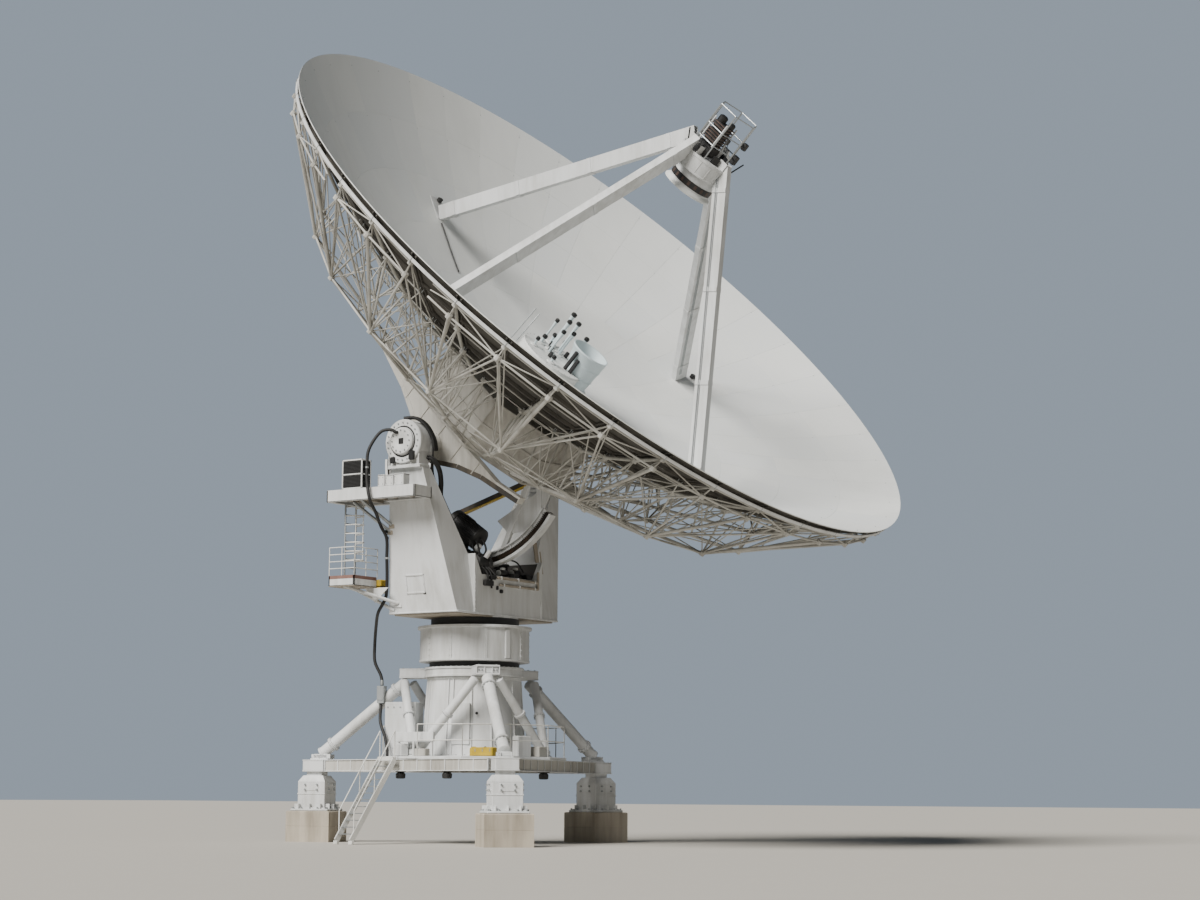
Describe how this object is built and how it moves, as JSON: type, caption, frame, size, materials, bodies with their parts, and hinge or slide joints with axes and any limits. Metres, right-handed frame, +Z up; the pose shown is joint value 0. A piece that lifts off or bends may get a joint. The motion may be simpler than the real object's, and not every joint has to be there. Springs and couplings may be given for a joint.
{
  "type": "radio telescope dish",
  "caption": "Radio telescope with a parabolic reflector on a lattice, apex legs, a yoke that turns and tilts it, and a strutted pedestal on piers.",
  "frame": {"origin": "middle of the whole outline at rest, at ground level under the piers", "axes": "+Z up, +X the side that the dish points towards, +Y across, along the elevation axis"},
  "size_m": [20.8097, 25, 27.612],
  "materials": {
    "white_paint": "satin",
    "panel_paint": "matt painted",
    "concrete": "cast",
    "dark_steel": "satin",
    "galvanised": "galvanised",
    "ochre_paint": "satin",
    "rubber": "matt"
  },
  "bodies": {
    "base": {"azimuth_housing": "white_paint", "base_deck": "white_paint", "base_stair": "white_paint", "corner_strut_front": "white_paint", "corner_strut_left": "white_paint", "corner_strut_right": "white_paint", "deck_box": "ochre_paint", "deck_cabinet": "white_paint", "deck_drop_cable": "rubber", "drop_cable_socket": "galvanised", "foot_front": "white_paint", "foot_left": "white_paint", "foot_right": "white_paint", "frame_beam_front_right": "white_paint", "frame_beam_left_front": "white_paint", "frame_beam_right_left": "white_paint", "pedestal_drum": "white_paint", "pedestal_ring": "white_paint", "pier_front": "concrete", "pier_left": "concrete", "pier_right": "concrete", "side_struts_front_right": "white_paint", "side_struts_left_front": "white_paint", "side_struts_right_left": "white_paint"},
    "yoke": {"control_cabinet": "white_paint", "elevation_bearing_far": "white_paint", "elevation_bearing_near": "white_paint", "elevation_drive": "dark_steel", "elevation_motor": "dark_steel", "louvre_cabinet": "dark_steel", "service_platform": "white_paint", "yoke_arm_cable": "rubber", "yoke_arm_far": "white_paint", "yoke_arm_near": "white_paint", "yoke_drop_cable": "rubber", "yoke_ladder": "galvanised", "yoke_landing_box": "ochre_paint", "yoke_saddle": "white_paint"},
    "dish": {"apex_frame": "white_paint", "apex_leg_1": "white_paint", "apex_leg_2": "white_paint", "apex_leg_3": "white_paint", "apex_leg_4": "white_paint", "elevation_gear": "white_paint", "feed_horn": "white_paint", "feed_housing": "white_paint", "hub": "white_paint", "lattice_quarter_1": "white_paint", "lattice_quarter_2": "white_paint", "lattice_quarter_3": "white_paint", "lattice_quarter_4": "white_paint", "reflector_quarter_1": "panel_paint", "reflector_quarter_2": "panel_paint", "reflector_quarter_3": "panel_paint", "reflector_quarter_4": "panel_paint", "subreflector": "panel_paint", "subreflector_can": "white_paint"}
  },
  "joints": [
    {"name": "azimuth", "type": "hinge", "parent": "base", "child": "yoke", "pos_m": [-3.907, 0, 7.465], "axis": [0, 0, 1], "range_deg": [-265, 265]},
    {"name": "elevation", "type": "hinge", "parent": "yoke", "child": "dish", "pos_m": [-3.907, 0, 13.3], "axis": [0, -1, 0], "range_deg": [-37, 80]}
  ]
}
